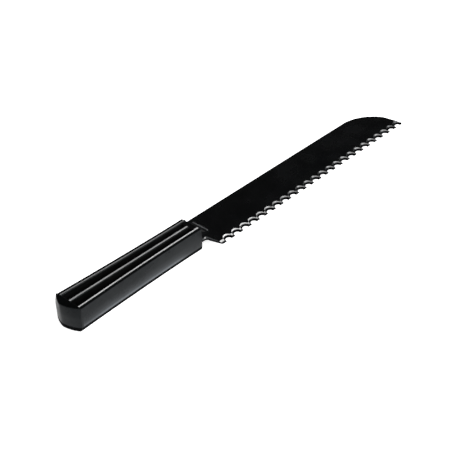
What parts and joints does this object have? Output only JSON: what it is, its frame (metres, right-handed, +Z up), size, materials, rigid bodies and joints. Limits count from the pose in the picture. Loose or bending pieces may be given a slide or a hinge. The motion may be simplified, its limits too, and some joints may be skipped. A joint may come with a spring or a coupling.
{
  "type": "bread knife",
  "caption": "Black plastic bread knife: toothed one-side bevelled blade with a rounded nose, and a waisted handle with raised rails and a pointed end.",
  "frame": {"origin": "on the flat underside of the handle, on the handle's centre line, half way along the handle's straight length", "axes": "+X along the knife towards the point, +Y towards the spine (the cutting edge is on the -Y side), +Z up out of the bevelled face of the blade, with the knife lying flat"},
  "size_m": [0.3102, 0.0328, 0.0173],
  "materials": {
    "blade_plastic": "satin",
    "handle_plastic": "semi-gloss",
    "liner_rubber": "matte",
    "pin_steel": "brushed"
  },
  "bodies": {
    "root": {"blade": "blade_plastic", "handle_shell": "handle_plastic", "channel_liner_left": "liner_rubber", "channel_liner_right": "liner_rubber", "bolster": "handle_plastic", "end_cap": "handle_plastic", "tang_pin_front": "pin_steel", "tang_pin_middle": "pin_steel", "tang_pin_back": "pin_steel", "cap_pin": "pin_steel"}
  },
  "joints": []
}
